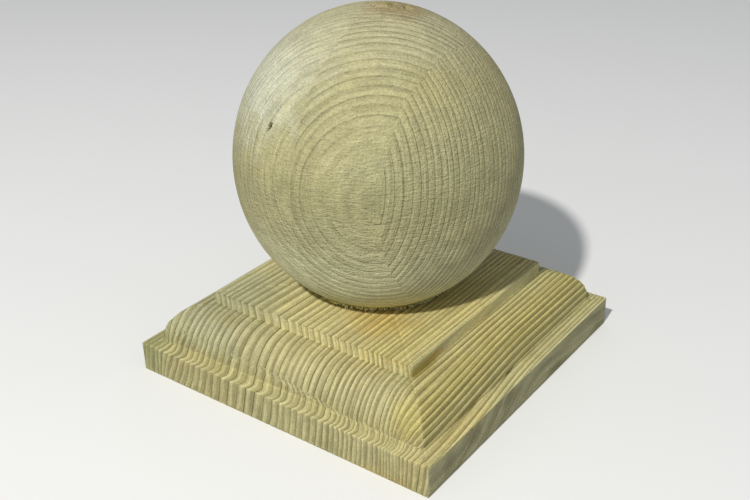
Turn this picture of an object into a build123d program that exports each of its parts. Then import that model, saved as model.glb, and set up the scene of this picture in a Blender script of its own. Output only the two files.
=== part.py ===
"""Ball-topped cap for a square timber fence post.

A square moulded softwood board carries a turned softwood ball. The ball is turned from a blank glued up from
four boards, and one countersunk screw, driven from the underside, holds it down on its flat seat.

Units are millimetres. +Z is up, the origin is the centre of the underside, and +X runs along the grain of
the base board.
"""

from build123d import *
import os

# Base board
BASE_WIDTH = 125.0  # across the square, 12.5 mm of overhang each side of a 100 mm post
BASE_THICKNESS = 29.7
EDGE_HEIGHT = 11.4  # plain square edge under the moulding
OVOLO_RADIUS = 12.7
LIP_WIDTH = 5.5  # flat lip between the edge and the foot of the ovolo
FILLET_HEIGHT = 0.9  # short upright between the lip and the ovolo
TABLE_WIDTH = 85.6  # raised square table on top

# Ball
BALL_RADIUS = 50.0  # horizontal
BALL_HALF_HEIGHT = 52.9  # the ball is a little taller than it is wide
SEAT_RADIUS = 23.0  # flat on which the ball stands
STUB_RADIUS = 3.6  # rough stub left on top where the ball was parted off the lathe
STUB_HEIGHT = 0.8
LAMINATION = 27.2  # finished thickness of one board of the blank
FIRST_GLUE_LINE = -29.7  # y of the glue line nearest the front

# Fixing screw, 4.5 mm by 60 mm, countersunk
SCREW_LENGTH = 60.0
SCREW_THREAD_RADIUS = 2.25
SCREW_CORE_RADIUS = 1.4
SCREW_SHANK_RADIUS = 1.6
SCREW_SHANK_LENGTH = 22.0
SCREW_POINT_LENGTH = 6.0
SCREW_HEAD_RADIUS = 4.4
SCREW_HEAD_RIM = 0.5
SCREW_PITCH = 2.5
DRIVE_RADIUS = 1.9  # recess in the head
DRIVE_SLOT = 1.1
DRIVE_DEPTH = 1.8
HEAD_DEPTH = 2.0  # from the underside of the base up to the flat of the head
CLEARANCE_RADIUS = 2.5  # the screw passes freely through the base

half_width = BASE_WIDTH / 2
half_table = TABLE_WIDTH / 2
ovolo_foot = half_width - LIP_WIDTH
ovolo_bottom = EDGE_HEIGHT + FILLET_HEIGHT
ovolo_top = ovolo_bottom + OVOLO_RADIUS
ovolo_start = ovolo_foot - OVOLO_RADIUS

seat_drop = BALL_HALF_HEIGHT * (1 - (SEAT_RADIUS / BALL_RADIUS) ** 2) ** 0.5
ball_centre = BASE_THICKNESS + seat_drop
ball_top = ball_centre + BALL_HALF_HEIGHT
stub_top = ball_top + STUB_HEIGHT

glue_lines = [FIRST_GLUE_LINE + i * LAMINATION for i in range(3)]
cone_height = SCREW_HEAD_RADIUS - SCREW_SHANK_RADIUS  # a 90 degree countersunk head
head_rim_top = HEAD_DEPTH + SCREW_HEAD_RIM
screw_tip = HEAD_DEPTH + SCREW_LENGTH
shank_top = head_rim_top + cone_height + SCREW_SHANK_LENGTH
point_start = screw_tip - SCREW_POINT_LENGTH
thread_turns = int((point_start - shank_top) / SCREW_PITCH)


def moulding_section(plane):
    """Full section of the moulded board, drawn on a vertical plane through its middle."""
    with BuildSketch(plane) as section:
        with BuildLine():
            edge = Polyline(
                (0, 0),
                (half_width, 0),
                (half_width, EDGE_HEIGHT),
                (ovolo_foot, EDGE_HEIGHT),
                (ovolo_foot, ovolo_bottom),
            )
            ovolo = RadiusArc(edge @ 1, (ovolo_start, ovolo_top), -OVOLO_RADIUS)
            Polyline(
                ovolo @ 1,
                (half_table, ovolo_top),
                (half_table, BASE_THICKNESS),
                (0, BASE_THICKNESS),
                (0, 0),
            )
        make_face()
        mirror(about=Plane.YZ)
    return section.sketch


def make_base_board():
    """Square board, moulded round all four edges, with a countersunk hole from below."""
    with BuildPart() as base_board:
        extrude(moulding_section(Plane.XZ), amount=half_width, both=True)
        extrude(moulding_section(Plane.YZ), amount=half_width, both=True, mode=Mode.INTERSECT)
        with BuildSketch(Plane.XZ):
            with BuildLine():
                Polyline(
                    (0, 0),
                    (SCREW_HEAD_RADIUS, 0),
                    (SCREW_HEAD_RADIUS, head_rim_top),
                    (CLEARANCE_RADIUS, head_rim_top + SCREW_HEAD_RADIUS - CLEARANCE_RADIUS),
                    (CLEARANCE_RADIUS, BASE_THICKNESS),
                    (0, BASE_THICKNESS),
                    close=True,
                )
            make_face()
        revolve(axis=Axis.Z, mode=Mode.SUBTRACT)
    base_board.part.label = "base_board"
    return base_board.part


def make_fixing_screw():
    """Countersunk wood screw: head down, point up, with a ring for each turn of the thread."""
    with BuildPart() as fixing_screw:
        with BuildSketch(Plane.XZ):
            with BuildLine():
                Polyline(
                    (0, HEAD_DEPTH),
                    (SCREW_HEAD_RADIUS, HEAD_DEPTH),
                    (SCREW_HEAD_RADIUS, head_rim_top),
                    (SCREW_SHANK_RADIUS, head_rim_top + cone_height),
                    (SCREW_SHANK_RADIUS, shank_top),
                    (SCREW_CORE_RADIUS, shank_top),
                    (SCREW_CORE_RADIUS, point_start),
                    (0, screw_tip),
                    close=True,
                )
            make_face()
            for turn in range(thread_turns):
                root = shank_top + turn * SCREW_PITCH
                with BuildLine():
                    Polyline(
                        (0, root + 0.1 * SCREW_PITCH),
                        (SCREW_CORE_RADIUS, root + 0.1 * SCREW_PITCH),
                        (SCREW_THREAD_RADIUS, root + 0.4 * SCREW_PITCH),
                        (SCREW_THREAD_RADIUS, root + 0.5 * SCREW_PITCH),
                        (SCREW_CORE_RADIUS, root + 0.8 * SCREW_PITCH),
                        (0, root + 0.8 * SCREW_PITCH),
                        close=True,
                    )
                make_face()
        revolve(axis=Axis.Z)
        with BuildSketch(Plane.XY.offset(HEAD_DEPTH)):
            Rectangle(2 * DRIVE_RADIUS, DRIVE_SLOT)
            Rectangle(DRIVE_SLOT, 2 * DRIVE_RADIUS)
        extrude(amount=DRIVE_DEPTH, taper=12, mode=Mode.SUBTRACT)
    fixing_screw.part.label = "fixing_screw"
    return fixing_screw.part


def make_ball_lamination(name, low, high, screw):
    """One board of the turned ball, between the planes y = low and y = high."""
    with BuildPart() as lamination:
        with BuildSketch(Plane.XZ):
            with Locations((0, ball_centre)):
                Ellipse(BALL_RADIUS, BALL_HALF_HEIGHT)
            with Locations((0, stub_top)):
                Rectangle(2 * STUB_RADIUS, 4 * STUB_HEIGHT, align=(Align.CENTER, Align.MAX))
            with Locations((0, BASE_THICKNESS)):
                Rectangle(BASE_WIDTH, BASE_WIDTH, align=(Align.MIN, Align.MIN), mode=Mode.INTERSECT)
        revolve(axis=Axis.Z)
        with BuildSketch(Plane.XY.offset(BASE_THICKNESS)):
            with Locations((0, (low + high) / 2)):
                Rectangle(BASE_WIDTH, high - low)
        extrude(amount=stub_top - BASE_THICKNESS, mode=Mode.INTERSECT)
        if low < 0 < high:
            add(screw, mode=Mode.SUBTRACT)
    lamination.part.label = name
    return lamination.part


os.makedirs("parts", exist_ok=True)

screw = make_fixing_screw()
limits = [-BALL_RADIUS] + glue_lines + [BALL_RADIUS]
names = ["ball_outer_front", "ball_inner_front", "ball_inner_back", "ball_outer_back"]

pieces = [make_base_board(), screw]
for name, low, high in zip(names, limits[:-1], limits[1:]):
    pieces.append(make_ball_lamination(name, low, high, screw))

for piece in pieces:
    export_step(piece, f"parts/{piece.label}.step")
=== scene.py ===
"""A ball-topped cap for a square timber post, dressed in preservative-treated softwood.

Shapes are worked out in millimetres and become metres when a mesh is made. +Z is up, the origin is the centre
of the underside, and +X runs along the grain of the base board.
"""

import logging
import math
from dataclasses import dataclass
from enum import Enum
from typing import ClassVar

import bpy
import numpy as np
from mathutils import Matrix, Vector


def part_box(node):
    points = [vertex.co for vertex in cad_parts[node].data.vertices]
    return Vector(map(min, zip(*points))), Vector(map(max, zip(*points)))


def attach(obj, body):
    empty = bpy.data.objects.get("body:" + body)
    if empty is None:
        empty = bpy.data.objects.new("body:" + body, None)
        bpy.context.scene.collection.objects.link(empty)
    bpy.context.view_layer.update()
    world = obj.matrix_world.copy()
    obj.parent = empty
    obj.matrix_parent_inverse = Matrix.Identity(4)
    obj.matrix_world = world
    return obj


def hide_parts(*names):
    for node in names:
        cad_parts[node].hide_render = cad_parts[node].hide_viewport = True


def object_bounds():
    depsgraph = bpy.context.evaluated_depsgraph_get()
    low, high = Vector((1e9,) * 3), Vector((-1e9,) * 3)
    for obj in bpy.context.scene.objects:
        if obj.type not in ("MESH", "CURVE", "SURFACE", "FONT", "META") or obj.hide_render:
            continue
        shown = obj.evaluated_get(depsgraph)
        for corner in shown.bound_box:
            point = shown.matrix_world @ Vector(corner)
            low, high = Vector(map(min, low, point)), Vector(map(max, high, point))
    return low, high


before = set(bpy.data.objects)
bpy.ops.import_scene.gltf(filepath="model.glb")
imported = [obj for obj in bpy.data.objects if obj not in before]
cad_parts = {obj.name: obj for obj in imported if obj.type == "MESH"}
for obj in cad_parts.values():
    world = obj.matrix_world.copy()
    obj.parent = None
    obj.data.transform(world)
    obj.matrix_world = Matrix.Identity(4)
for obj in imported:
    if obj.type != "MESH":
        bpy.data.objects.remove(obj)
cad_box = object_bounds()

MM = 0.001
log = logging.getLogger("post_cap")

Array = np.ndarray
Triple = tuple[float, float, float]


# ---------------------------------------------------------------------------------------------------- noise


def lattice_random(cell: Array, seed: int) -> Array:
    """Give each whole-numbered lattice point its own repeatable random number.

    The three numbers are multiplied by large odd constants, combined, and mixed by shifts and products.

    Args:
        cell: lattice points, shape (..., 3).
        seed: picks a different field.

    Returns:
        Numbers from -1 to 1, shape (...).
    """
    whole = cell.astype(np.int64).astype(np.uint64)
    mixed = whole[..., 0] * np.uint64(73856093)
    mixed = mixed ^ (whole[..., 1] * np.uint64(19349663))
    mixed = mixed ^ (whole[..., 2] * np.uint64(83492791))
    mixed = (mixed + np.uint64(seed * 2654435761)) & np.uint64(0xFFFFFFFF)
    mixed = ((mixed ^ (mixed >> np.uint64(15))) * np.uint64(2246822519)) & np.uint64(0xFFFFFFFF)
    mixed = ((mixed ^ (mixed >> np.uint64(13))) * np.uint64(3266489917)) & np.uint64(0xFFFFFFFF)
    mixed = mixed ^ (mixed >> np.uint64(16))
    return mixed.astype(float) / 2**31 - 1.0


def smooth_noise(point: Array, size: float | Triple, seed: int) -> Array:
    """Smooth noise: the eight lattice corners round a point, blended with an eased weight.

    Args:
        point: places in millimetres, shape (..., 3).
        size: lattice pitch in millimetres, one number or one for each axis.
        seed: picks a different field.

    Returns:
        Numbers from about -1 to 1, shape (...).
    """
    scaled = point / np.asarray(size, float)
    base = np.floor(scaled)
    part = scaled - base
    part = part * part * (3.0 - 2.0 * part)
    total = np.zeros(point.shape[:-1])
    for corner in range(8):
        offset = np.array([corner & 1, corner >> 1 & 1, corner >> 2 & 1])
        weight = np.prod(np.where(offset == 1, part, 1.0 - part), axis=-1)
        total += weight * lattice_random(base + offset, seed)
    return total


def layered_noise(point: Array, size: float | Triple, seed: int, layers: int = 3) -> Array:
    """Noise with finer layers added, each half the size and half the strength of the last.

    Args:
        point: places in millimetres, shape (..., 3).
        size: lattice pitch of the coarsest layer.
        seed: picks a different field.
        layers: how many layers.

    Returns:
        Numbers from about -1 to 1, shape (...).
    """
    pitch = np.asarray(size, float)
    total = np.zeros(point.shape[:-1])
    for layer in range(layers):
        total += 0.5**layer * smooth_noise(point, tuple(np.ones(3) * pitch / 2**layer), seed + layer)
    return total / (2.0 - 0.5 ** (layers - 1))


def eased(value: Array, start: float, end: float) -> Array:
    """Rise from 0 at start to 1 at end along a cubic ease."""
    part = np.clip((value - start) / (end - start), 0.0, 1.0)
    return part * part * (3.0 - 2.0 * part)


def unit(vector: Array) -> Array:
    """Vectors of the same directions with length 1."""
    return vector / np.linalg.norm(vector, axis=-1, keepdims=True)


# ------------------------------------------------------------------------------------------------------ wood


@dataclass(frozen=True)
class GrowthSpell:
    """A run of years in which the tree grew faster, or slower where `extra` is negative.

    Attributes:
        centre: where it lies across the rings.
        spread: how far it reaches.
        extra: how much wider the rings are at its middle.
    """

    centre: float
    spread: float
    extra: float


@dataclass(frozen=True)
class GrowthRings:
    """The growth rings of one board, as gently bowed sheets.

    Attributes:
        facing: direction across the sheets.
        bow_along: direction along which the sheets bow.
        bow: how fast they bow, per millimetre.
        bow_centre: where along that direction the bow turns.
        spacing: usual ring width.
        spells: runs of faster or slower years.
        unevenness: how much neighbouring rings differ, as a share of the spacing.
        wander: how far a sheet strays from its place.
        wander_size: how long its waves are, for each axis.
        seed: picks a different board.
        offset: added to the distance across.
        phase: ring number where the distance across is nothing.
        reach: how far the rings are counted to either side.
    """

    facing: Triple
    bow_along: Triple = (0.0, 0.0, 1.0)
    bow: float = 0.0
    bow_centre: float = 0.0
    spacing: float = 2.1
    spells: tuple[GrowthSpell, ...] = ()
    unevenness: float = 0.2
    wander: float = 0.3
    wander_size: Triple = (60.0, 25.0, 25.0)
    seed: int = 1
    offset: float = 0.0
    phase: float = 0.0
    reach: float = 100.0

    def across(self, point: Array) -> Array:
        """Distance across the sheets: along `facing`, less the bow squared, plus the wander.

        Args:
            point: places in millimetres, shape (..., 3).

        Returns:
            Distances in millimetres, shape (...).
        """
        along = point @ np.array(self.facing) / np.linalg.norm(self.facing) + self.offset
        height = point @ np.array(self.bow_along) - self.bow_centre
        return along - self.bow * height**2 + self.wander * layered_noise(point, self.wander_size, self.seed)

    def number(self, point: Array, shift: Array | float = 0.0) -> Array:
        """Ring number at a point: the sum of one over the ring width up to there. It is whole at a dark line.

        Args:
            point: places in millimetres, shape (..., 3).
            shift: added to the distance across, to bend the rings locally.

        Returns:
            Ring numbers, shape (...).
        """
        place = np.linspace(-self.reach, self.reach, 3601)
        width = np.full_like(place, self.spacing)
        for spell in self.spells:
            width += spell.extra * np.exp(-(((place - spell.centre) / spell.spread) ** 2))
        line = np.stack([place, np.zeros_like(place), np.zeros_like(place)], axis=-1)
        width *= 1.0 + self.unevenness * smooth_noise(line, 2.6, self.seed + 50)
        steps = np.diff(place) / (0.5 * (width[1:] + width[:-1]))
        count = np.concatenate([[0.0], np.cumsum(steps)])
        count += self.phase - np.interp(0.0, place, count)
        return np.interp(self.across(point) + shift, place, count)


def scallop(ring: Array, sharpness: float = 0.55) -> Array:
    """Depth of raised grain: 0 on the swollen early wood and 1 in the crease at each dark line.

    It is one less the sine over a ring raised to a power under one, which rounds the ridge and sharpens the
    crease.

    Args:
        ring: ring numbers.
        sharpness: the power.

    Returns:
        Depths from 0 to 1.
    """
    return 1.0 - np.abs(np.sin(np.pi * ring)) ** sharpness


# ---------------------------------------------------------------------------------------------------- meshes


class Material(Enum):
    """The finishes by the name that Blender gives them."""

    BASE = "treated_board"
    BALL = "treated_ball"
    FIBRE = "torn_fibre"
    SCREW = "zinc_screw"


def make_piece(
    name: str,
    points: Array,
    quads: Array,
    triangles: Array,
    values: dict[str, Array],
    crease: float = 48.0,
) -> bpy.types.Object:
    """Make one object from whole arrays, with smooth faces and a sharp edge where two faces turn far.

    Args:
        name: piece name.
        points: vertices in millimetres, shape (n, 3).
        quads: vertex numbers, shape (m, 4).
        triangles: vertex numbers, shape (k, 3).
        values: named numbers for each vertex.
        crease: angle in degrees past which an edge is sharp.

    Returns:
        The linked object, at the origin.
    """
    mesh = bpy.data.meshes.new(name)
    mesh.vertices.add(len(points))
    mesh.vertices.foreach_set("co", (points * MM).astype(np.float32).ravel())
    corners = np.concatenate([quads.ravel(), triangles.ravel()]).astype(np.int32)
    mesh.loops.add(len(corners))
    mesh.loops.foreach_set("vertex_index", corners)
    quad_starts = np.arange(len(quads)) * 4
    triangle_starts = len(quads) * 4 + np.arange(len(triangles)) * 3
    mesh.polygons.add(len(quads) + len(triangles))
    mesh.polygons.foreach_set("loop_start", np.concatenate([quad_starts, triangle_starts]).astype(np.int32))
    mesh.polygons.foreach_set("use_smooth", np.ones(len(quads) + len(triangles), bool))
    mesh.update(calc_edges=True)
    mesh.validate()
    mesh.set_sharp_from_angle(angle=math.radians(crease))
    for key, numbers in values.items():
        attribute = mesh.attributes.new(key, "FLOAT", "POINT")
        attribute.data.foreach_set("value", numbers.astype(np.float32).ravel())
    piece = bpy.data.objects.new(name, mesh)
    bpy.context.scene.collection.objects.link(piece)
    return piece


def grid_quads(rows: int, columns: int, wrap_rows: bool) -> Array:
    """Quads of a grid whose columns join round, and whose rows do too if asked.

    Args:
        rows: number of rows.
        columns: number of columns.
        wrap_rows: whether the last row joins the first.

    Returns:
        Vertex numbers, shape (n, 4).
    """
    row = np.arange(rows if wrap_rows else rows - 1)[:, None]
    column = np.arange(columns)[None, :]
    up, across = (row + 1) % rows, (column + 1) % columns
    corners = [row * columns + column, row * columns + across, up * columns + across, up * columns + column]
    spread = [np.broadcast_to(corner, (row.size, columns)) for corner in corners]
    return np.stack(spread, axis=-1).reshape(-1, 4)


# ------------------------------------------------------------------------------------------------ base board


@dataclass(frozen=True)
class Leg:
    """One stretch of a moulding's profile.

    Attributes:
        start: half width and height where it starts.
        end: half width and height where it ends.
        count: number of points on it, its end left out.
        end_grain: depth of raised grain where it crosses the end grain.
        long_grain: depth of raised grain where it runs along the grain.
        radius: radius of a quarter round, or 0 for a straight leg.
    """

    start: tuple[float, float]
    end: tuple[float, float]
    count: int
    end_grain: float
    long_grain: float
    radius: float = 0.0

    def stations(self) -> Array:
        """Points on the leg: half width, height and the two depths of grain.

        A straight leg is an even split. A quarter round turns from its outer foot up to its inner top.

        Returns:
            Rows of four numbers, shape (count, 4).
        """
        part = np.arange(self.count) / self.count
        (start_out, start_up), (end_out, end_up) = self.start, self.end
        if self.radius:
            half_width = end_out + self.radius * np.cos(part * math.pi / 2)
            height = start_up + self.radius * np.sin(part * math.pi / 2)
        else:
            half_width = start_out + part * (end_out - start_out)
            height = start_up + part * (end_up - start_up)
        even = np.ones_like(part)
        return np.stack([half_width, height, even * self.end_grain, even * self.long_grain], axis=-1)


@dataclass(frozen=True)
class BaseBoard:
    """The square moulded board: a profile carried round a square, with raised grain worked into it.

    Attributes:
        half: half the board's width.
        thickness: full thickness.
        edge: height of the plain square edge.
        lip: width of the flat lip.
        fillet: short upright under the ovolo.
        ovolo: radius of the ovolo.
        half_table: half the width of the raised table.
        arris: radius of the worn corners.
        hole: radius of the screw's clearance hole.
        sink: radius of the countersink's mouth.
        sink_depth: straight depth of the mouth.
        end_columns: points along each end-grain side.
        side_columns: points along each long side.
        rings: its growth rings.
    """

    half: float
    thickness: float
    edge: float = 11.4
    lip: float = 5.5
    fillet: float = 0.9
    ovolo: float = 12.7
    half_table: float = 42.8
    arris: float = 0.3
    hole: float = 2.5
    sink: float = 4.4
    sink_depth: float = 2.5
    end_columns: int = 400
    side_columns: int = 116

    rings: ClassVar[GrowthRings] = GrowthRings(
        facing=(0.0, 1.0, 0.0),
        bow=0.0058,
        bow_centre=17.0,
        spacing=1.75,
        spells=(
            GrowthSpell(16.7, 15.1, 2.19),
            GrowthSpell(49.3, 9.9, 1.23),
            GrowthSpell(-13.7, 11.4, 0.96),
            GrowthSpell(-38.5, 1.9, 0.84),
            GrowthSpell(-62.0, 8.0, 1.3),
            GrowthSpell(-73.0, 4.5, -0.75),
        ),
        unevenness=0.05,
        wander=0.35,
        wander_size=(40.0, 34.0, 34.0),
        seed=11,
        phase=0.1,
    )

    @property
    def low(self) -> float:
        """Height of the foot of the ovolo."""
        return self.edge + self.fillet

    @property
    def top(self) -> float:
        """Height of the top of the ovolo, where the table stands."""
        return self.low + self.ovolo

    @property
    def inner(self) -> float:
        """Half width where the ovolo ends."""
        return self.half - self.lip - self.ovolo

    def moulding_legs(self) -> list[Leg]:
        """Profile of the board up to the foot of the table, from the screw hole out, up and back in.

        Returns:
            The legs of the closed profile, in order.
        """
        half, edge, low, top, worn = self.half, self.edge, self.low, self.top, self.arris
        foot = half - self.lip
        cone = self.sink_depth + self.sink - self.hole
        hidden = self.half_table - 1.5
        return [
            Leg((self.hole, top), (self.hole, cone), 2, 0.0, 0.0),
            Leg((self.hole, cone), (self.sink, self.sink_depth), 2, 0.0, 0.0),
            Leg((self.sink, self.sink_depth), (self.sink, 0.0), 2, 0.0, 0.0),
            Leg((self.sink, 0.0), (half - worn, 0.0), 5, 0.0, 0.0),
            Leg((half - worn, 0.0), (half, worn), 1, 0.0, 0.0),
            Leg((half, worn), (half, edge - worn), 12, 0.42, 0.05),
            Leg((half, edge - worn), (half - worn, edge), 1, 0.42, 0.06),
            Leg((half - worn, edge), (foot, edge), 11, 0.3, 0.3),
            Leg((foot, edge), (foot, low), 2, 0.4, 0.2),
            Leg((foot, low), (self.inner, top), 44, 0.55, 0.3, radius=self.ovolo),
            Leg((self.inner, top), (hidden, top), 6, 0.18, 0.15),
            Leg((hidden, top), (self.hole, top), 3, 0.0, 0.0),
        ]

    def table_legs(self) -> list[Leg]:
        """Profile of the raised table: out at its sunk foot, up the quirk and back over the top.

        Returns:
            The legs of the closed profile, in order.
        """
        half, thickness, worn = self.half_table, self.thickness, self.arris
        sunk = self.top - 1.0
        under_ball = 20.0
        return [
            Leg((self.hole, sunk), (half, sunk), 3, 0.0, 0.0),
            Leg((half, sunk), (half, thickness - worn), 14, 0.8, 0.06),
            Leg((half, thickness - worn), (half - worn, thickness), 2, 0.7, 0.2),
            Leg((half - worn, thickness), (under_ball, thickness), 62, 0.27, 0.27),
            Leg((under_ball, thickness), (self.hole, thickness), 5, 0.0, 0.0),
        ]

    def square(self) -> tuple[Array, Array, Array]:
        """Walk once round a square of half width 1, anticlockwise from the corner at -X, -Y.

        The sides along the grain have few points and crowd towards their corners. The sides across it have
        many, evenly spaced.

        Returns:
            Places (n, 2), the outward step of each point (n, 2), and 1 on the two end-grain sides (n).
        """
        few = np.linspace(-1.0, 1.0, self.side_columns + 1)[:-1]
        crowding = 0.7
        few = few + crowding * np.sin(np.pi * few) / np.pi
        many = np.linspace(-1.0, 1.0, self.end_columns + 1)[:-1]
        ones_few, ones_many = np.ones_like(few), np.ones_like(many)
        place = np.concatenate(
            [
                np.stack([few, -ones_few], axis=-1),
                np.stack([ones_many, many], axis=-1),
                np.stack([-few, ones_few], axis=-1),
                np.stack([-ones_many, -many], axis=-1),
            ]
        )
        on_side = np.abs(np.abs(place) - 1.0) < 1e-9
        return place, np.where(on_side, place, 0.0), on_side[:, 0].astype(float)

    def lean(self, point: Array) -> Array:
        """How far the rings lean outwards under the -Y run of the ovolo, and droop towards its -X end.

        The share rises in a straight line across the ovolo. The lean is the share times the depth below the
        ovolo's top; the droop is the share times an ease along X.

        Args:
            point: places in millimetres, shape (..., 3).

        Returns:
            Distances to add across the rings, in millimetres.
        """
        share = np.clip((-self.inner - point[..., 1]) / self.ovolo, 0.0, 1.0)
        below = np.clip(self.top - point[..., 2], 0.0, self.ovolo)
        return share * (6.0 * eased(-point[..., 0], -15.0, 62.0) - 0.8 * below)

    def torn_line(self, point: Array) -> Array:
        """Height of the torn step low on the ovolo: it runs down from +Y to -Y, with small ragged jumps.

        Args:
            point: places in millimetres, shape (..., 3).

        Returns:
            Heights in millimetres, shape (...).
        """
        along = (-27.0, -16.0, -7.0, 3.0, 20.0, 60.0)
        heights = (12.4, 14.1, 15.4, 16.5, 17.5, 18.2)
        ragged = smooth_noise(point, (500.0, 1.6, 500.0), 71)
        return np.interp(point[..., 1], along, heights) + 0.22 * ragged

    def end_drift(self, point: Array, step: Array) -> Array:
        """How far the rings stray on the end grain, as the cutter has pushed the soft wood about.

        Down the ovolo they drift towards +Y, with the square of the depth below its top. At the torn step
        they sweep back over 2.2 mm. On the lip they bulge towards -Y, and down the square edge they lean to
        +Y, most where the board's edge is near. All of it dies out before the mitres. On the lip in the
        corner at -Y the rings are drawn in by up to 3 mm.

        Args:
            point: places in millimetres, shape (..., 3).
            step: height of the torn step.

        Returns:
            Distances to add across the rings, in millimetres.
        """
        y, z = point[..., 1], point[..., 2]
        fallen = np.clip((self.top - z) / (self.top - self.low), 0.0, 1.0)
        drift = -np.interp(y, [-40.0, -20.0, 10.0, 30.0, 45.0], [0.3, 1.0, 1.2, 1.8, 2.8]) * fallen**2
        swept = np.interp(y, [-46.0, -32.0, -24.0, 0.0, 9.0], [0.6, 1.6, 2.6, 2.4, 0.35])
        sweep = swept * eased(step + 0.3 - z, 0.0, 2.2)
        lip = np.clip((self.half - np.abs(point[..., 0])) / self.lip, 0.0, 1.0)
        on_lip = np.where(z < self.low, 1.0, 0.0)
        bulge = on_lip * (1.1 * np.sin(np.pi * lip) + 0.8 * (1.0 - lip))
        sunk = np.clip((self.edge - z) / self.edge, 0.0, 1.0)
        slant = np.interp(y, [-50.0, -30.0, 0.0, 30.0, 40.0, 55.0], [-1.2, -0.3, 0.3, 0.9, 2.4, 4.0])
        leaning = -slant * sunk
        share = np.clip((-self.inner - y) / self.ovolo, 0.0, 1.0)
        alive = 1.0 - eased(np.abs(y), 49.0, 57.0)
        return alive * (drift + sweep + bulge + leaning) - 3.0 * share * on_lip

    def face_tones_and_painted_light(self, out_z: Array, level: Array, end_side: Array) -> dict[str, Array]:
        """How light each face is, and how strongly its rings show.

        Level faces are made paler as painted light from above, and the upright under the table is palest. The
        square edge is darker, most of all along the grain, where the rings lie nearly flat in the face and
        hardly show.
        Along the grain the ovolo is made paler as painted fill light, most towards its foot.

        Args:
            out_z: upward share of the normal of each station, shape (stations, 1).
            level: heights, shape (stations, points).
            end_side: true on the two end-grain sides.

        Returns:
            The numbers "tone", which carries the painted light, and "figure" for each vertex.
        """
        level_face = np.broadcast_to(out_z > 0.9, level.shape)
        table = level_face & (level > self.thickness - 1.0)
        lip = level_face & (level < self.edge + 0.5)
        edge = (level < self.edge) & ~level_face
        riser = (level > self.top - 0.5) & ~level_face
        moulded = (level > self.edge + 0.5) & (level < self.top + 0.1) & ~riser
        # Painted light: the table and the lip, which face up, are made paler for the light from above.
        tone = 1.0 + 0.16 * table + 0.1 * lip - np.where(edge, np.where(end_side, 0.02, 0.2), 0.0)
        tone = tone + np.where(riser, np.where(end_side, 0.2, 0.3), 0.0) - 0.06 * (moulded & end_side)
        # Painted fill light: the ovolo along the grain is made paler, most towards its foot.
        tone = tone + (moulded & ~end_side) * (0.12 + 0.34 * (1.0 - eased(level, 13.0, 20.0)))
        figure = np.where(end_side | level_face, 1.0, np.where(edge, 0.4, np.where(riser, 0.35, 1.0)))
        figure = np.where(moulded, np.where(end_side, 1.1, 1.7), figure)
        figure = np.where(riser & end_side, 0.75, figure)
        return {"tone": tone, "figure": figure}

    def relief(
        self, point: Array, half_width: Array, normal: tuple[Array, Array], end_side: Array, crossing: Array
    ) -> tuple[Array, Array, Array]:
        """Work out the rings, how deep each point is sunk, and how torn it is.

        The depth is a sum: ribs between the dark lines, stronger in some years; hairlines that keep to the
        rings; a furred patch under the torn step, with a ragged rim; worn mitres; and nibbles along the edge
        of the lip.

        Args:
            point: places in millimetres, shape (stations, points, 3).
            half_width: of each station, shape (stations, 1).
            normal: outward and upward shares of each station's normal, two of shape (stations, 1).
            end_side: true on the two end-grain sides.
            crossing: full depth of the raised grain at each point.

        Returns:
            Ring numbers, depths in millimetres, and shares of torn wood.
        """
        out_h, out_z = normal
        level = point[..., 2]
        facing_out = out_h > 0.3
        over_foot = (level > self.edge + 0.2) & (level < 20.0) & end_side & facing_out
        step = self.torn_line(point)
        reach = eased(point[..., 1], -42.0, -28.0) * (1.0 - eased(point[..., 1], 0.0, 26.0))
        below_step = eased(step - level, -0.15, 0.35) * over_foot
        below_step = below_step * (1.0 - eased(point[..., 1], 34.0, 50.0))
        step_edge = np.exp(-(((step - level) / 0.5) ** 2)) * over_foot * (0.25 + 0.75 * reach)
        fuzz = 0.5 + 0.5 * layered_noise(point, (0.9, 0.45, 0.8), 31)

        drift = np.where(end_side & (out_z > -0.5), self.end_drift(point, step), 0.0)
        ring = self.rings.number(point, shift=drift + self.lean(point))
        year = np.stack([np.floor(ring), np.full_like(ring, 3.0), np.zeros_like(ring)], axis=-1)
        vigour = 1.0 + 0.45 * smooth_noise(year, 1.0, 5)
        depth = crossing * vigour * scallop(ring, 0.58) * (1.0 + 0.35 * reach * below_step)
        hairline = np.stack([2.7 * ring, point[..., 0] / 12.0, level / 7.0], axis=-1)
        depth += 0.2 * crossing * (1.0 + layered_noise(hairline, 1.0, 21))
        depth += np.where(end_side, 0.16, 0.05) * crossing * (1.0 + layered_noise(point, 0.8, 22))
        depth += 0.13 * below_step + 0.05 * below_step * fuzz + 0.1 * step_edge * (fuzz - 0.4)

        from_corner = half_width - np.abs(point[..., :2]).min(axis=-1)
        worn = np.exp(-((from_corner / 0.7) ** 2)) * (0.5 + 0.5 * layered_noise(point, (2.2, 2.2, 1.1), 41))
        depth += np.where(facing_out | (out_z > 0.5), 0.34 * worn, 0.0)
        lip_edge = np.exp(-(((level - self.edge) / 0.5) ** 2)) * (half_width > self.half - 0.5)
        depth += 0.16 * lip_edge * (0.5 + 0.5 * layered_noise(point, (3.0, 0.7, 3.0), 43))
        torn = (0.3 * below_step + 0.4 * step_edge) * fuzz + 0.7 * worn * facing_out
        return ring, np.clip(depth, 0.0, 1.6), np.clip(torn, 0.0, 1.0)

    def build(self, name: str, legs: list[Leg]) -> bpy.types.Object:
        """Carry a profile round the square and sink the raised grain, torn grain and worn corners into it.

        With h the half width, a point is h times the square's x and y, at height z, moved in by the grain's
        depth along the normal of its own side. Within a half width of 12 mm the square eases into a circle
        for the screw hole.

        Args:
            name: piece name.
            legs: the closed profile.

        Returns:
            The finished object.
        """
        stations = np.concatenate([leg.stations() for leg in legs])
        half_width, height = stations[:, 0:1], stations[:, 1:2]
        run = np.roll(half_width, -1) - np.roll(half_width, 1)
        rise = np.roll(height, -1) - np.roll(height, 1)
        length = np.hypot(run, rise)
        out_h, out_z = rise / length, -run / length

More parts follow.
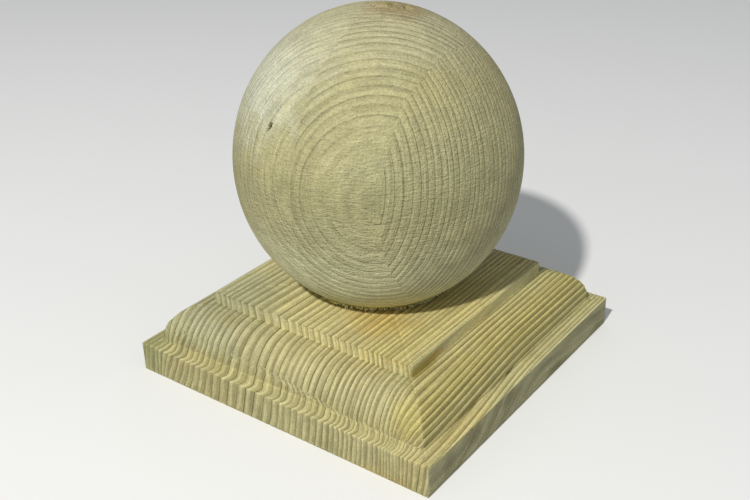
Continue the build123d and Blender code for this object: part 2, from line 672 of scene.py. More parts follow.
        place, outward, on_end = self.square()
        squareness = eased(half_width, 6.0, 12.0)[..., None]
        loop = unit(place)[None] * (1.0 - squareness) + place[None] * squareness
        level = np.broadcast_to(height, loop.shape[:2])
        point = np.concatenate([half_width[..., None] * loop, level[..., None]], axis=-1)
        end_side = np.broadcast_to(on_end[None] > 0.5, level.shape)
        crossing = np.where(end_side, stations[:, 2:3], stations[:, 3:4])
        ring, depth, torn = self.relief(point, half_width, (out_h, out_z), end_side, crossing)

        moved = point.copy()
        moved[..., :2] -= (depth * out_h)[..., None] * outward[None] * squareness
        moved[..., 2] = np.clip(moved[..., 2] - depth * out_z, 0.0, self.thickness)
        piece = make_piece(
            name,
            moved.reshape(-1, 3),
            grid_quads(len(stations), len(place), wrap_rows=True),
            np.zeros((0, 3), int),
            {"ring": ring, "torn": torn, **self.face_tones_and_painted_light(out_z, level, end_side)},
        )
        piece.data.materials.append(bpy.data.materials[Material.BASE.value])
        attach(piece, "root")
        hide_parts("base_board")
        log.info("%s: %d vertices", name, len(piece.data.vertices))
        return piece


# ------------------------------------------------------------------------------------------------------ ball


@dataclass(frozen=True)
class BallShape:
    """The turned ball: an upright spheroid with a flat seat and a rough stub on top.

    Attributes:
        radius: horizontal half axis.
        half_height: vertical half axis.
        centre: height of its centre.
        seat: height of its flat seat.
        top: height of the top of the stub.
        stub: radius of the stub.
    """

    radius: float
    half_height: float
    centre: float
    seat: float
    top: float
    stub: float = 3.4

    def surface(self, y: Array, turn: Array) -> Array:
        """Point at a given y, turned about the Y axis from the top.

        With k the share of the radius left at that y, x is radius times k times the sine of the turn, and z
        is the centre plus half height times k times its cosine.

        Args:
            y: places across the laminations.
            turn: angle from the top, towards +X.

        Returns:
            Points, shape (..., 3).
        """
        left = np.sqrt(np.clip(1.0 - (y / self.radius) ** 2, 0.0, 1.0))
        x = self.radius * left * np.sin(turn)
        z = self.centre + self.half_height * left * np.cos(turn)
        return np.stack([x, y * np.ones_like(turn), z], axis=-1)

    def outward(self, point: Array) -> Array:
        """Unit normal of the spheroid at a point of it."""
        scale = np.array([self.radius**-2, self.radius**-2, self.half_height**-2])
        return unit((point - np.array([0.0, 0.0, self.centre])) * scale)


@dataclass(frozen=True)
class Tear:
    """A place where the gouge plucked a chip of wood out of the ball.

    Attributes:
        place: its middle, from the ball's centre.
        along: the direction of its length.
        length: half its length.
        width: half its width.
        depth: how deep it is.
    """

    place: Triple
    along: Triple
    length: float
    width: float
    depth: float

    def weight(self, point: Array, centre: float) -> Array:
        """How much of the tear's depth a point has: an oval, wider at one end, with steep, ragged sides.

        Args:
            point: places in millimetres, shape (..., 3).
            centre: height of the ball's centre.

        Returns:
            Shares from 0 to 1, shape (...).
        """
        from_middle = point - (np.array(self.place) + np.array([0.0, 0.0, centre]))
        direction = unit(np.array(self.along))
        lengthways = from_middle @ direction
        aside = np.linalg.norm(from_middle - lengthways[..., None] * direction, axis=-1)
        taper = 1.0 + 0.7 * lengthways / self.length
        oval = np.hypot(lengthways / self.length, aside / (self.width * np.clip(taper, 0.3, 2.0)))
        ragged = oval + 0.18 * layered_noise(point, 0.7, 83)
        return 1.0 - eased(ragged, 0.82, 1.08)


STUB_PLACE = (1.3, -1.8)
PITS_PLACE = (4.2, -5.6)
TEARS: tuple[Tear, ...] = (
    Tear((-43.8, 9.3, 22.6), (0.42, -0.42, 0.8), 1.9, 0.72, 2.0),
    Tear((-44.6, 8.2, 19.6), (0.4, -0.2, 0.85), 1.2, 0.36, 0.8),
    Tear((-45.4, 7.0, 17.2), (0.4, 0.1, 0.9), 0.5, 0.35, 0.5),
)


@dataclass(frozen=True)
class Lamination:
    """One board of the glued ball, between two planes across Y.

    Attributes:
        node: the CAD node that it stands for.
        low: y of its front face, or of the ball's front.
        high: y of its back face, or of the ball's back.
        rings: its growth rings.
        grain: depth of its raised grain.
        figure: how strongly its dark lines show.
        rows: grid rows across it.
        columns: grid columns round it.
    """

    node: str
    low: float
    high: float
    rings: GrowthRings
    grain: float
    figure: float
    rows: int
    columns: int

    def turns(self, y: Array, ball: BallShape) -> Array:
        """Angles round the Y axis, with the two nearest the seat's rim moved onto it.

        Args:
            y: place of each row, shape (rows,).
            ball: the ball.

        Returns:
            Angles, shape (rows, columns).
        """
        even = np.linspace(-math.pi, math.pi, self.columns, endpoint=False)
        angles = np.tile(even, (len(y), 1))
        left = np.sqrt(np.clip(1.0 - (y / ball.radius) ** 2, 1e-9, 1.0))
        share = (ball.centre - ball.seat) / (ball.half_height * left)
        rim = np.arccos(-np.clip(share, 0.0, 1.0))
        pitch = 2.0 * math.pi / self.columns
        for side in (-1.0, 1.0):
            nearest = np.round((side * rim + math.pi) / pitch) * pitch - math.pi
            closeness = np.clip(1.0 - np.abs(angles - nearest[:, None]) / (4.0 * pitch), 0.0, 1.0)
            angles += closeness * (side * rim - nearest)[:, None] * (share < 0.985)[:, None]
        return angles

    def relief(
        self, ball: BallShape, point: Array, normal: Array
    ) -> tuple[Array, Array, Array, Array]:
        """Work out the rings, and how far each point of the surface is moved out or in.

        The surface is sunk by raised grain, hairlines that keep to the rings, turning marks that depend on
        height alone, sanding waves, wear near the seat's rim, the tears, and small pits beside the stub. It
        is lifted at the stub. The grain fades where the surface lies along the rings.

        Args:
            ball: the ball.
            point: places in millimetres, shape (rows, columns, 3).
            normal: unit normals, of the same shape.

        Returns:
            Ring numbers, shares of the figure that shows, distances out, and how torn the wood is.
        """
        local = point - np.array([0.0, 0.0, ball.centre])
        above_seat = point[..., 2] - ball.seat
        ring = self.rings.number(local)
        steepness = 1.0 - np.abs(normal @ unit(np.array(self.rings.facing)))
        fade = 0.2 + 0.8 * eased(steepness, 0.0, 0.16)
        depth = self.grain * scallop(ring, 0.8) * fade * eased(above_seat, 1.0, 5.0)
        hairline = np.stack([2.6 * ring, local[..., 2] / 5.0, local[..., 0] / 9.0], axis=-1)
        depth += 0.06 * (1.0 + layered_noise(hairline, 1.0, 66))
        height_only = local * np.array([0.0, 0.0, 1.0])
        depth += 0.022 * (1.0 + layered_noise(height_only, 1.1, 61)) * (1.0 + smooth_noise(local, 14.0, 62))
        depth += 0.05 * (1.0 + layered_noise(local, (16.0, 16.0, 22.0), 63))
        rim_wear = np.exp(-((above_seat / 1.1) ** 2))
        depth += 0.5 * rim_wear * (0.5 + 0.5 * layered_noise(local, (1.4, 1.4, 0.9), 64))
        torn = 0.8 * rim_wear
        for tear in TEARS:
            weight = tear.weight(point, ball.centre)
            depth += tear.depth * weight
            torn = np.maximum(torn, 2.0 * weight)

        below_middle = 99.0 * (local[..., 2] < 0)
        from_stub = np.linalg.norm(point[..., :2] - np.array(STUB_PLACE), axis=-1) + below_middle
        from_pits = np.linalg.norm(point[..., :2] - np.array(PITS_PLACE), axis=-1) + below_middle
        plucked = eased(smooth_noise(local, (0.9, 0.9, 3.0), 67), 0.2, 0.45)
        plucked = plucked * (1.0 - eased(from_pits, 2.5, 7.0))
        depth += 0.4 * plucked
        torn = np.maximum(torn, 1.7 * plucked)
        ragged = layered_noise(local, (0.8, 0.8, 3.0), 65)
        stub = 1.0 - eased(from_stub + 0.5 * ragged, 0.62 * ball.stub, ball.stub)
        lift = (ball.top - ball.centre - ball.half_height) * stub * (0.66 + 0.34 * ragged)
        out = np.maximum(lift, 0.0) - depth * (1.0 - stub)
        return ring, fade, out, np.maximum(torn, 0.25 * stub)

    def build(self, ball: BallShape) -> bpy.types.Object:
        """Make the lamination: a band of the spheroid with flat glue faces and a flat seat.

        Rows go across Y by equal angles, columns go round the Y axis. Just above the seat, small teeth are
        drawn out along X where a fine noise is high. What would lie below the seat is lifted to it. A fan
        from the middle closes each end.

        Args:
            ball: the ball.

        Returns:
            The finished object.
        """
        tilt = np.linspace(math.asin(self.low / ball.radius), math.asin(self.high / ball.radius), self.rows)
        y = ball.radius * np.sin(tilt)
        starts_at_pole = self.low <= -ball.radius
        ends_at_pole = self.high >= ball.radius
        y = y[1:] if starts_at_pole else y
        y = y[:-1] if ends_at_pole else y
        turn = self.turns(y, ball)
        point = ball.surface(np.broadcast_to(y[:, None], turn.shape), turn)
        normal = ball.outward(point)
        ring, fade, out, torn = self.relief(ball, point, normal)

        moved = point + normal * out[..., None]
        rim_zone = np.exp(-(((point[..., 2] - ball.seat - 0.9) / 0.5) ** 2))
        fine = smooth_noise(point - np.array([0.0, 0.0, ball.centre]), (0.5, 0.5, 60.0), 68)
        moved[..., 0] += 1.2 * rim_zone * eased(fine, -0.1, 0.35) * normal[..., 0]
        moved[..., 2] = np.clip(moved[..., 2], ball.seat, ball.top)
        moved[..., 1] = point[..., 1]

        count = moved.shape[0] * moved.shape[1]
        points = moved.reshape(-1, 3)
        ends = np.array([[0.0, self.low, ball.centre], [0.0, self.high, ball.centre]])
        points = np.concatenate([points, ends])
        column = np.arange(self.columns)
        following = (column + 1) % self.columns
        last_row = count - self.columns
        fans = np.concatenate(
            [
                np.stack([np.full_like(column, count), following, column], axis=-1),
                np.stack([np.full_like(column, count + 1), last_row + column, last_row + following], axis=-1),
            ]
        )
        ends_ring = self.rings.number(ends - np.array([0.0, 0.0, ball.centre]))
        piece = make_piece(
            self.node + "_wood",
            points,
            grid_quads(moved.shape[0], self.columns, wrap_rows=False),
            fans,
            {
                "ring": np.concatenate([ring.ravel(), ends_ring]),
                "torn": np.concatenate([np.clip(torn, 0.0, 1.0).ravel(), [0.0, 0.0]]),
                # Share of painted shade in the tears and plucked pits.
                "pit_shade": np.concatenate([np.clip(torn - 1.0, 0.0, 1.0).ravel(), [0.0, 0.0]]),
                "figure": np.concatenate([(self.figure * fade).ravel(), [0.0, 0.0]]),
            },
        )
        piece.data.materials.append(bpy.data.materials[Material.BALL.value])
        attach(piece, "root")
        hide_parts(self.node)
        log.info("%s: %d vertices", piece.name, len(piece.data.vertices))
        return piece


@dataclass(frozen=True)
class Ball:
    """The four laminations of the ball, from front to back.

    Attributes:
        shape: the ball that they make up.
        glue_lines: y of the three glue lines.
    """

    shape: BallShape
    glue_lines: tuple[float, float, float]

    def laminations(self) -> list[Lamination]:
        """The four boards: the rings of the two at the front run together into points at the glue line.

        Returns:
            The laminations, front to back.
        """
        radius = self.shape.radius
        first, second, third = self.glue_lines
        bowed = {"bow_along": (0.55, -0.75, 0.1), "wander_size": (30.0, 30.0, 45.0)}
        board = {"spacing": 2.45, "spells": (GrowthSpell(43.0, 9.0, -0.75),), "wander": 0.3, "phase": 0.2,
                 "unevenness": 0.12, "seed": 23}
        front = GrowthRings((-0.99, 0.03, 0.14), spacing=2.15, wander=0.4, phase=0.5, seed=29, **bowed)
        matched = GrowthRings((-0.81, -0.58, 0.1), **board, **bowed)
        plain = GrowthRings((-0.86, -0.42, 0.16), spacing=2.4, wander=0.8, seed=37, **bowed)
        back = GrowthRings((0.62, 0.77, 0.12), spacing=2.3, wander=0.5, seed=53, **bowed)
        return [
            Lamination("ball_outer_front", -radius, first, front, 0.19, 1.15, 104, 850),
            Lamination("ball_inner_front", first, second, matched, 0.12, 0.9, 98, 980),
            Lamination("ball_inner_back", second, third, plain, 0.06, 0.35, 96, 980),
            Lamination("ball_outer_back", third, radius, back, 0.09, 0.8, 100, 820),
        ]

    def build(self) -> None:
        """Make every lamination."""
        for lamination in self.laminations():
            lamination.build(self.shape)


# ----------------------------------------------------------------------------------------------- torn fibres


@dataclass(frozen=True)
class Fibres:
    """A crowd of fine torn fibres, made as one mesh of three-sided tapering hairs.

    Attributes:
        name: piece name.
        slot: not used.
        seed: picks other shades.
    """

    name: str
    slot: str
    seed: int

    def build(
        self, root: Array, direction: Array, bend: Array, length: Array, thick: Array
    ) -> bpy.types.Object:
        """Grow a hair from each root.

        A hair's line is root plus direction times length times t, plus bend times t squared. Its radius falls
        from `thick` to nothing as one less t to the power 0.8. Three points round the line make each of its
        three rings, and the tip is one point.

        Args:
            root: starts, shape (n, 3).
            direction: unit directions, shape (n, 3).
            bend: sideways drift at the tip, shape (n, 3).
            length: lengths, shape (n,).
            thick: radii at the root, shape (n,).

        Returns:
            The finished object.
        """
        count = len(root)
        t = np.array([0.0, 0.35, 0.7, 1.0])
        line = root[:, None] + direction[:, None] * (length[:, None] * t)[..., None]
        line = line + bend[:, None] * (t**2)[None, :, None]
        side = unit(np.cross(direction, np.array([0.31, 0.17, 0.93])))
        other = np.cross(direction, side)
        angle = np.arange(3) * 2.0 * math.pi / 3.0
        around = side[:, None] * np.cos(angle)[None, :, None] + other[:, None] * np.sin(angle)[None, :, None]
        radius = thick[:, None] * (1.0 - t[:3]) ** 0.8
        rings = line[:, :3, None] + around[:, None] * radius[..., None, None]
        points = np.concatenate([rings.reshape(count, 9, 3), line[:, 3:4]], axis=1)
        quad_one = grid_quads(3, 3, wrap_rows=False)
        tip_one = np.array([[6, 7, 9], [7, 8, 9], [8, 6, 9], [2, 1, 0]])
        first = (np.arange(count) * 10)[:, None, None]
        low, high = (np.array(corner / MM) for corner in cad_box)
        points = np.clip(points, low, high)
        piece = make_piece(
            self.name,
            points.reshape(-1, 3),
            (quad_one[None] + first).reshape(-1, 4),
            (tip_one[None] + first).reshape(-1, 3),
            {"shade": np.repeat(lattice_random(np.arange(count)[:, None] * np.ones(3), self.seed), 10)},
            crease=180.0,
        )
        piece.data.materials.append(bpy.data.materials[Material.FIBRE.value])
        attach(piece, "root")
        log.info("%s: %d fibres", self.name, count)
        return piece


def seat_fringe(ball: BallShape) -> None:
    """Grow the fringe of torn teeth round the rim of the ball's seat, each of a few hairs, out and down.

    A hair that would reach below the seat is turned up by as much as it would pass it.

    Args:
        ball: the ball.
    """
    chance = np.random.default_rng(7)
    teeth, hairs = 168, 6
    count = teeth * hairs
    tooth = np.repeat(np.arange(teeth) + 0.3 * chance.random(teeth), hairs)
    turn = (tooth + 0.3 * chance.random(count)) * 2.0 * math.pi / teeth
    size = np.repeat(0.45 + 0.55 * chance.random(teeth), hairs)
    level = ball.seat + 0.8 + 1.1 * chance.random(count)
    share = (level - ball.centre) / ball.half_height
    heading = np.stack([np.cos(turn), np.sin(turn), np.zeros(count)], axis=-1)
    root = heading * (ball.radius * np.sqrt(1.0 - share**2) - 0.35)[:, None]
    root[:, 2] = level
    along = np.stack([-heading[:, 1], heading[:, 0], np.zeros(count)], axis=-1)
    direction = heading + along * chance.normal(0.0, 0.25, count)[:, None]
    direction[:, 2] = chance.uniform(-0.4, -0.12, count)
    direction = unit(direction)
    straggler = chance.random(count) > 0.975
    length = size * chance.uniform(1.5, 2.4, count) + 1.8 * straggler
    fall = np.maximum(-direction[:, 2] * length - (level - ball.seat), 0.0)
    direction[:, 2] += fall / length
    bend = chance.normal(0.0, 0.1, (count, 3)) * length[:, None]
    bend[:, 2] = np.abs(bend[:, 2]) * 0.4
    thick = np.where(straggler, 0.14, size * chance.uniform(0.26, 0.44, count))
    Fibres("seat_fringe", "ball_wood", 3).build(root, direction, bend, length, thick)


def stub_fibres(ball: BallShape) -> None:
    """Stand a few broken fibres on the stub on top of the ball.

    Args:
        ball: the ball.
    """
    chance = np.random.default_rng(19)
    count = 32
    turn, out = chance.uniform(0.0, 2.0 * math.pi, count), 3.2 * np.sqrt(chance.random(count))
    root = np.stack([out * np.cos(turn), out * np.sin(turn), np.full(count, ball.top - 0.75)], axis=-1)
    aside, ahead = chance.normal(0, 0.8, count), chance.normal(0, 0.8, count)
    direction = unit(np.stack([aside, ahead, np.full(count, 0.5)], axis=-1))
    length = chance.uniform(0.4, 1.3, count)
    bend = chance.normal(0.0, 0.15, (count, 3))
    thick = chance.uniform(0.06, 0.16, count)
    Fibres("stub_fibres", "ball_wood", 5).build(root, direction, bend, length, thick)


def moulding_fibres(board: BaseBoard) -> None:
    """Grow short torn fibres along the torn step low on the two end-grain runs of the ovolo.

    Args:
        board: the base board.
    """
    chance = np.random.default_rng(29)
    count = 620
    side = np.where(chance.random(count) < 0.5, -1.0, 1.0)
    y = chance.uniform(-56.0, 50.0, count)
    probe = np.stack([np.zeros(count), y, np.zeros(count)], axis=-1)
    level = board.torn_line(probe) + chance.normal(0.1, 0.35, count)
    lean = np.arcsin(np.clip((level - board.low) / board.ovolo, 0.0, 1.0))
    out = board.inner + board.ovolo * np.cos(lean)
    root = np.stack([side * (out - 0.35), y, level], axis=-1)
    aside, ahead = side * chance.uniform(0.2, 0.6, count), chance.normal(-0.5, 0.4, count)
    direction = unit(np.stack([aside, ahead, chance.uniform(-1.0, -0.3, count)], axis=-1))
    length = chance.uniform(0.3, 1.3, count)
    bend = chance.normal(0.0, 0.12, (count, 3))
    thick = chance.uniform(0.07, 0.17, count)
    Fibres("moulding_fibres", "base_wood", 31).build(root, direction, bend, length, thick)


@dataclass(frozen=True)
class FixingScrew:
    """The countersunk screw: its CAD node is shown as it is, with a finish of its own."""

    def build(self) -> None:
        """Give the node its finish."""
        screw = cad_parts["fixing_screw"]
        screw.data.materials.clear()
        screw.data.materials.append(bpy.data.materials[Material.SCREW.value])
        log.info("fixing_screw: CAD node, zinc plated")


# ------------------------------------------------------------------------------------------------- materials


@dataclass
class Nodes:
    """A node tree with short ways to add and join nodes.

    Attributes:
        tree: the tree that nodes are added to.
    """

    tree: bpy.types.NodeTree

    def add(self, kind: str, **settings: object) -> bpy.types.Node:
        """Add a node and set its properties."""
        node = self.tree.nodes.new(kind)
        for key, value in settings.items():
            setattr(node, key, value)
        return node

    def put(self, value: object, socket: bpy.types.NodeSocket) -> None:
        """Link a socket, or set a plain value, into an input."""
        if isinstance(value, bpy.types.NodeSocket):
            self.tree.links.new(value, socket)
        else:
            socket.default_value = value

    def math(self, operation: str, first: object, second: object = 0.5, third: object = 0.5,
             clamp: bool = False) -> bpy.types.NodeSocket:
        """Add a Math node and return its output."""
        node = self.add("ShaderNodeMath", operation=operation, use_clamp=clamp)
        for value, socket in zip((first, second, third), node.inputs):
            self.put(value, socket)
        return node.outputs[0]

    def ramp(self, value: object, start: float, end: float, low: float = 0.0,
             high: float = 1.0) -> bpy.types.NodeSocket:
        """Ease a value from low at start to high at end."""
        node = self.add("ShaderNodeMapRange", interpolation_type="SMOOTHSTEP")
        for socket, number in zip(node.inputs, (value, start, end, low, high)):
            self.put(number, socket)
        return node.outputs[0]

    def mix(self, share: object, first: object, second: object, blend: str = "MIX") -> bpy.types.NodeSocket:
        """Mix two colours."""
        node = self.add("ShaderNodeMix", data_type="RGBA", blend_type=blend)
        self.put(share, node.inputs[0])
        self.put(first, node.inputs[6])
        self.put(second, node.inputs[7])
        return node.outputs[2]

    def vector(self, operation: str, first: object, second: object) -> bpy.types.NodeSocket:
        """Add a Vector Math node, axis by axis, and return its output."""
        node = self.add("ShaderNodeVectorMath", operation=operation)
        self.put(first, node.inputs[0])
        self.put(second, node.inputs[1])
        return node.outputs[0]

    def noise(self, vector: object, scale: float, detail: float = 3.0,
              rough: float = 0.55) -> bpy.types.NodeSocket:
        """Add a Noise texture and return its value."""
        node = self.add("ShaderNodeTexNoise")
        self.put(vector, node.inputs["Vector"])
        node.inputs["Scale"].default_value = scale
        node.inputs["Detail"].default_value = detail
        node.inputs["Roughness"].default_value = rough
        return node.outputs[0]

    def bump(self, height: object, strength: float, distance: float) -> bpy.types.NodeSocket:
        """Add a Bump node of a depth in metres and return its normal."""
        node = self.add("ShaderNodeBump")
        node.inputs["Strength"].default_value = strength
        node.inputs["Distance"].default_value = distance
        self.put(height, node.inputs["Height"])
        return node.outputs["Normal"]

    def value(self, name: str) -> bpy.types.NodeSocket:
        """Read a named number of the piece's own vertices."""
        return self.add("ShaderNodeAttribute", attribute_name=name).outputs["Fac"]

    def group(self, shared: bpy.types.NodeTree, **inputs: object) -> bpy.types.Node:
        """Place a shared group with its inputs."""
        node = self.add("ShaderNodeGroup", node_tree=shared)
        for key, value in inputs.items():
            self.put(value, node.inputs[key])
        return node


Sockets = dict[str, bpy.types.NodeSocket]


def new_group(
    name: str, inputs: list[tuple[str, str]], outputs: list[tuple[str, str]]
) -> tuple[Nodes, Sockets, Sockets]:
    """Start a shader node group.

    Args:
        name: its name.
        inputs: names and socket kinds.
        outputs: names and socket kinds.

    Returns:
        Its nodes, its input sockets by name, and its output sockets by name.
    """
    tree = bpy.data.node_groups.new(name, "ShaderNodeTree")
    for key, kind in inputs:
        tree.interface.new_socket(key, in_out="INPUT", socket_type=kind)
    for key, kind in outputs:
        tree.interface.new_socket(key, in_out="OUTPUT", socket_type=kind)
    nodes = Nodes(tree)
    source, sink = nodes.add("NodeGroupInput"), nodes.add("NodeGroupOutput")
    given = {socket.name: socket for socket in source.outputs}
    result = {socket.name: socket for socket in sink.inputs}
    return nodes, given, result


def new_material(
    name: str,
) -> tuple[bpy.types.Material, Nodes, bpy.types.Node, bpy.types.NodeSocket]:
    """Start a material.

    Args:
        name: its name.

    Returns:
        The material, its nodes, its Principled shader, and the place on the piece in metres.
    """
    material = bpy.data.materials.new(name)
    material.use_nodes = True
    nodes = Nodes(material.node_tree)
    place = nodes.add("ShaderNodeTexCoord").outputs["Object"]
    return material, nodes, material.node_tree.nodes["Principled BSDF"], place


FLOAT, VECTOR = "NodeSocketFloat", "NodeSocketVector"


def make_ring_lines() -> bpy.types.NodeTree:
    """Group that turns a ring number into late wood: it darkens slowly through the year, then stops short.

    Band is a swell, 1 at each dark line and 0 half way between: half of one plus the cosine of a full turn
    for each ring, raised to a power to narrow it.

    Returns:
        The group.
    """
    nodes, given, result = new_group(
        "ring_lines", [("Ring", FLOAT), ("Vector", VECTOR), ("Softness", FLOAT)],
        [("Latewood", FLOAT), ("Band", FLOAT), ("Year", FLOAT)],
    )
    blur = nodes.noise(given["Vector"], 700.0, 2.0)
    shaken = nodes.math("MULTIPLY_ADD", nodes.math("SUBTRACT", blur, 0.5), given["Softness"], given["Ring"])
    centred = nodes.math("ADD", shaken, 0.12)
    part = nodes.math("FRACT", centred)
    year = nodes.add("ShaderNodeTexWhiteNoise", noise_dimensions="1D")
    nodes.put(nodes.math("FLOOR", centred), year.inputs["W"])
    start = nodes.math("MULTIPLY_ADD", year.outputs["Value"], 0.2, 0.58)
    rise = nodes.add("ShaderNodeMapRange", interpolation_type="SMOOTHSTEP")
    nodes.put(part, rise.inputs[0])
    nodes.put(start, rise.inputs[1])
    rise.inputs[2].default_value = 0.9
    fall = nodes.ramp(part, 0.93, 1.0, 1.0, 0.0)
    nodes.put(nodes.math("MULTIPLY", rise.outputs[0], fall), result["Latewood"])
    turned = nodes.math("COSINE", nodes.math("MULTIPLY", shaken, 2.0 * math.pi))
    swell = nodes.math("MULTIPLY_ADD", turned, 0.5, 0.5)
    nodes.put(nodes.math("POWER", swell, 1.7), result["Band"])
    nodes.put(year.outputs["Value"], result["Year"])
    return nodes.tree


def make_fibre_grain() -> bpy.types.NodeTree:
    """Group for the fibres: hair lines that keep to the rings, and a fine speckle.

    The ring number, stretched, is added to the squeezed place, so that the noise changes about three times
    in each ring and hardly along it.

    Returns:
        The group.
    """
    nodes, given, result = new_group(
        "fibre_grain", [("Vector", VECTOR), ("Ring", FLOAT), ("Squeeze", VECTOR)],
        [("Streak", FLOAT), ("Speckle", FLOAT)],
    )
    squeezed = nodes.vector("MULTIPLY", given["Vector"], given["Squeeze"])
    sideways = nodes.add("ShaderNodeCombineXYZ")
    nodes.put(nodes.math("MULTIPLY", given["Ring"], 0.0034), sideways.inputs[0])
    moved = nodes.vector("ADD", squeezed, sideways.outputs[0])
    nodes.put(nodes.noise(moved, 1000.0, 3.0, 0.6), result["Streak"])
    nodes.put(nodes.noise(given["Vector"], 1500.0, 3.0, 0.75), result["Speckle"])
    return nodes.tree


def make_weathering() -> bpy.types.NodeTree:
    """Group for broad colour drift: preservative lying greener in places, and a mottle of finer patches.

    Returns:
        The group.
    """
    nodes, given, result = new_group(
        "weathering", [("Vector", VECTOR)], [("Green", FLOAT), ("Warm", FLOAT), ("Mottle", FLOAT)]
    )
    nodes.put(nodes.ramp(nodes.noise(given["Vector"], 22.0, 3.0), 0.42, 0.68), result["Green"])
    shifted = nodes.vector("ADD", given["Vector"], (0.31, 0.17, 0.23))
    nodes.put(nodes.ramp(nodes.noise(shifted, 30.0, 3.0), 0.5, 0.72), result["Warm"])
    nodes.put(nodes.noise(given["Vector"], 160.0, 4.0, 0.6), result["Mottle"])
    return nodes.tree


def make_turning_marks() -> bpy.types.NodeTree:
    """Group for the lathe's and the sanding's marks: fine level lines, crossed by faint upright ones.

    Returns:
        The group.
    """
    nodes, given, result = new_group(
        "turning_marks", [("Vector", VECTOR)], [("Mark", FLOAT), ("Cross", FLOAT)]
    )
    level = nodes.vector("MULTIPLY", given["Vector"], (0.25, 0.25, 1.0))
    upright = nodes.vector("MULTIPLY", given["Vector"], (1.0, 1.0, 0.15))
    nodes.put(nodes.noise(level, 1350.0, 2.0, 0.7), result["Mark"])
    nodes.put(nodes.noise(upright, 1200.0, 2.0, 0.7), result["Cross"])
    return nodes.tree


def spot(nodes: Nodes, vector: object, centre: Triple, reach: Triple) -> bpy.types.NodeSocket:
    """A soft patch: 1 at its centre, 0 past its reach, with a ragged edge.

    The distance from the centre is measured in reaches, axis by axis, and a noise is added to it.

    Args:
        nodes: the tree that it is added to.
        vector: the place on the piece, in metres.
        centre: the patch's middle.
        reach: how far it goes along each axis.

    Returns:
        The patch's share.
    """
    moved = nodes.vector("SUBTRACT", vector, centre)
    sized = nodes.vector("MULTIPLY", moved, tuple(1.0 / extent for extent in reach))
    length = nodes.add("ShaderNodeVectorMath", operation="LENGTH")
    nodes.put(sized, length.inputs[0])
    ragged = nodes.math("MULTIPLY_ADD", nodes.noise(vector, 190.0, 3.0), 0.7, length.outputs["Value"])
    return nodes.ramp(ragged, 0.55, 1.35, 1.0, 0.0)


@dataclass(frozen=True)
class Patch:
    """A place of another colour, with a soft ragged edge.

    Attributes:
        centre: its middle, in metres.
        reach: how far it goes along each axis.
        colour: its colour.
        strength: how fully it covers.
    """

    centre: Triple
    reach: Triple
    colour: Triple
    strength: float


@dataclass(frozen=True)
class WoodTones:
    """The colours that a treated softwood passes through, as linear red, green and blue.

    Attributes:
        early: early wood.
        middle: the wood that leads up to a dark line.
        late: the dark line itself.
        green: early wood where the preservative lies thick.
        warm: yellow patches.
        torn: freshly torn wood.
        pit_shade: painted shade, near black, at the bottom of a tear or pit.
    """

    early: Triple
    middle: Triple
    late: Triple
    green: Triple
    warm: Triple
    torn: Triple
    pit_shade: Triple = (0.06, 0.05, 0.02)


def opaque(colour: Triple) -> tuple[float, float, float, float]:
    """A colour with full alpha."""
    return (*colour, 1.0)


